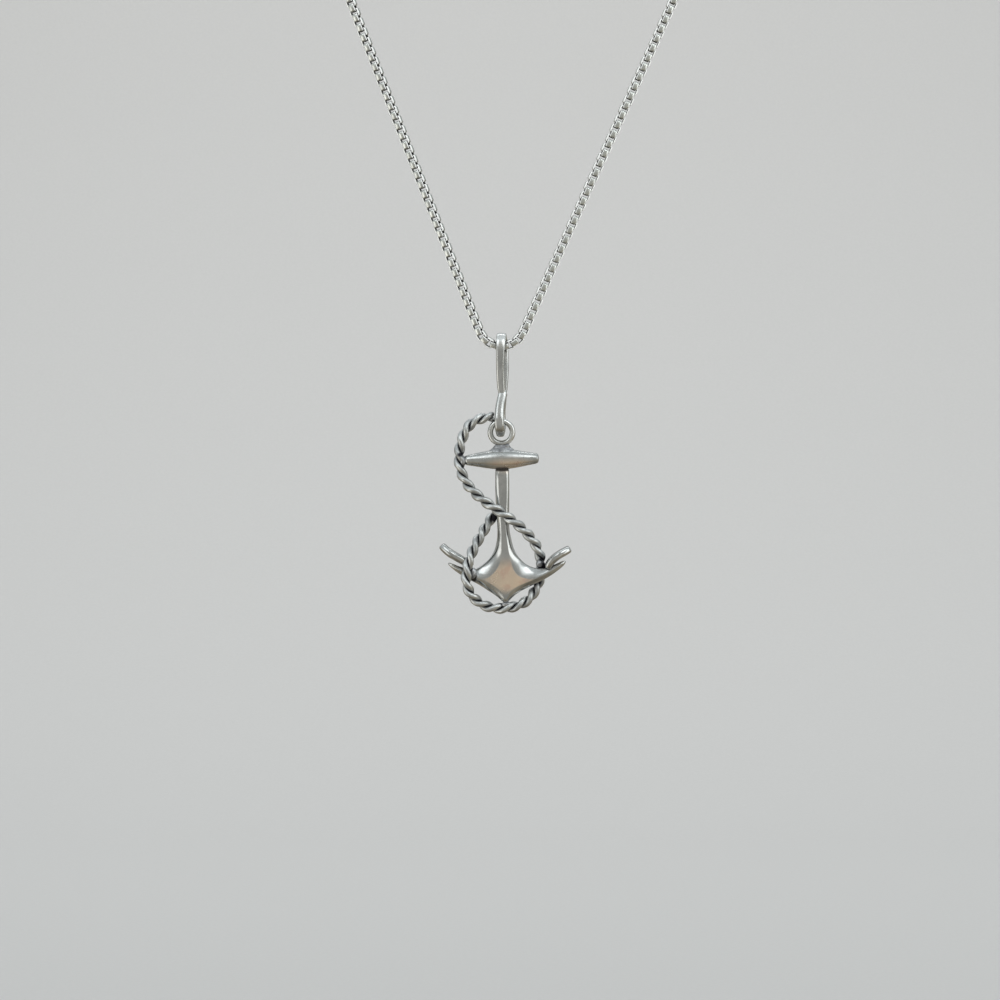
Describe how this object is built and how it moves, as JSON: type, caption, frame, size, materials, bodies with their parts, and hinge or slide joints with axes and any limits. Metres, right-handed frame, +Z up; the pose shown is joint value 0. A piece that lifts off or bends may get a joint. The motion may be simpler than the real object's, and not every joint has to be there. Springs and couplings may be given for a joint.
{
  "type": "anchor pendant necklace",
  "caption": "Cast anchor pendant with a twisted rope round it, on a long two-eyed bail and a closed fine box chain, held as it hangs when worn.",
  "frame": {"origin": "where the top of the loop rests on the back of the neck, under the middle of the clasp", "axes": "+Z up, +X to the wearer's left, -Y the front that faces the viewer"},
  "size_m": [0.1084, 0.004, 0.2156],
  "materials": {
    "chain_silver": "polished silver",
    "clasp_silver": "polished silver",
    "bail_silver": "bright silver with fine brushing",
    "anchor_silver": "oxidised silver, worn bright on its raised edges"
  },
  "bodies": {
    "necklace": {"chain": "chain_silver", "clasp": "clasp_silver"},
    "bail": {"bail": "bail_silver"},
    "anchor": {"anchor": "anchor_silver"}
  },
  "joints": [
    {"name": "bail_swing", "type": "hinge", "parent": "necklace", "child": "bail", "pos_m": [-0.00355, 0, -0.17897], "axis": [1, 0, 0], "range_deg": [-80, 80]},
    {"name": "anchor_swing", "type": "hinge", "parent": "bail", "child": "anchor", "pos_m": [-0.00355, 0, -0.18832], "axis": [1, 0, 0], "range_deg": [-70, 70]}
  ]
}
